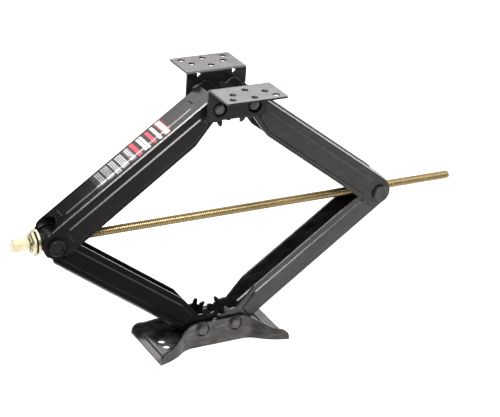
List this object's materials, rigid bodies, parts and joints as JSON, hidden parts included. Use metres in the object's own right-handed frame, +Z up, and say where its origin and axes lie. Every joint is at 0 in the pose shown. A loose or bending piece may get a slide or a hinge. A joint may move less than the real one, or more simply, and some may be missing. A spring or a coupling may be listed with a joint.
{
  "type": "scissor stabilizer jack",
  "caption": "Scissor stabilizer jack with geared channel arms, a lead screw across the knuckles, a waisted base plate and two winged mounting brackets, shown raised.",
  "frame": {"origin": "centre of the base plate's footprint, on the ground", "axes": "+Z up; +X along the lead screw, from the hex drive to the free end; -Y is the front, where the bolt heads are"},
  "size_m": [0.7618, 0.1934, 0.4415],
  "materials": {
    "black_paint": "satin black powder coat on pressed steel",
    "zinc_yellow": "steel with yellow zinc plating, lightly greased",
    "zinc_pale": "steel with pale zinc plating",
    "zinc_dark": "black plated steel hardware",
    "label": "printed vinyl label with plain bars only"
  },
  "bodies": {
    "base": {"base_plate": "black_paint", "base_pivot_bolt_left": "zinc_dark", "base_pivot_bolt_right": "zinc_dark", "base_pivot_nut_left": "zinc_dark", "base_pivot_nut_right": "zinc_dark", "base_pivot_sleeve_left": "zinc_dark", "base_pivot_sleeve_right": "zinc_dark", "base_pivot_washers": "zinc_dark"},
    "lower_arm_left": {"lower_arm_left": "black_paint"},
    "lower_arm_right": {"lower_arm_right": "black_paint"},
    "upper_arm_left": {"upper_arm_left": "black_paint", "blank_label": "label"},
    "upper_arm_right": {"upper_arm_right": "black_paint"},
    "top_bracket": {"mounting_bracket_front": "black_paint", "mounting_bracket_rear": "black_paint", "top_pivot_bolt_left": "zinc_dark", "top_pivot_bolt_right": "zinc_dark", "top_pivot_nut_left": "zinc_dark", "top_pivot_nut_right": "zinc_dark", "top_pivot_sleeve_left": "zinc_dark", "top_pivot_sleeve_right": "zinc_dark", "top_pivot_washers": "zinc_dark"},
    "left_knuckle": {"left_trunnion": "zinc_dark", "left_retaining_rings": "zinc_dark", "left_knuckle_washers": "zinc_dark"},
    "right_knuckle": {"right_trunnion_nut": "zinc_dark", "right_retaining_rings": "zinc_dark", "right_knuckle_washers": "zinc_dark"},
    "screw": {"lead_screw": "zinc_yellow", "drive_hex": "zinc_pale", "drive_pin": "zinc_pale", "drive_collar": "zinc_pale", "drive_nut": "zinc_pale", "thrust_washer": "zinc_pale", "stop_collar": "zinc_pale", "stop_pin": "zinc_pale"}
  },
  "joints": [
    {"name": "fold", "type": "hinge", "parent": "base", "child": "lower_arm_left", "pos_m": [-0.029, 0, 0.0315], "axis": [0, 1, 0], "range_deg": [-32.87, 23.67]},
    {"name": "base_pivot_right", "type": "hinge", "parent": "base", "child": "lower_arm_right", "pos_m": [0.029, 0, 0.0315], "axis": [0, 1, 0], "range_deg": [-23.77, 32.97]},
    {"name": "knuckle_left", "type": "hinge", "parent": "lower_arm_left", "child": "upper_arm_left", "pos_m": [-0.27817, 0, 0.21927], "axis": [0, 1, 0], "range_deg": [-47.54, 65.93]},
    {"name": "trunnion_left", "type": "hinge", "parent": "lower_arm_left", "child": "left_knuckle", "pos_m": [-0.27817, 0, 0.21927], "axis": [0, 1, 0], "range_deg": [-23.77, 32.97]},
    {"name": "top_pivot_left", "type": "hinge", "parent": "upper_arm_left", "child": "top_bracket", "pos_m": [-0.029, 0, 0.40703], "axis": [0, 1, 0], "range_deg": [-32.97, 23.77]},
    {"name": "top_pivot_right", "type": "hinge", "parent": "top_bracket", "child": "upper_arm_right", "pos_m": [0.029, 0, 0.40703], "axis": [0, 1, 0], "range_deg": [-32.97, 23.77]},
    {"name": "trunnion_right", "type": "hinge", "parent": "lower_arm_right", "child": "right_knuckle", "pos_m": [0.27817, 0, 0.21927], "axis": [0, 1, 0], "range_deg": [-32.97, 23.77]},
    {"name": "screw_spin", "type": "hinge", "parent": "left_knuckle", "child": "screw", "pos_m": [-0.27817, 0, 0.21927], "axis": [1, 0, 0], "range_deg": [-16565, 11931]}
  ],
  "couplings": [
    {"joint": "base_pivot_right", "follows": "fold", "ratio": -1},
    {"joint": "knuckle_left", "follows": "fold", "ratio": -2},
    {"joint": "trunnion_left", "follows": "fold", "ratio": -1},
    {"joint": "top_pivot_left", "follows": "fold", "ratio": 1},
    {"joint": "top_pivot_right", "follows": "fold", "ratio": 1},
    {"joint": "trunnion_right", "follows": "fold", "ratio": 1},
    {"joint": "screw_spin", "follows": "fold", "ratio": 504}
  ]
}
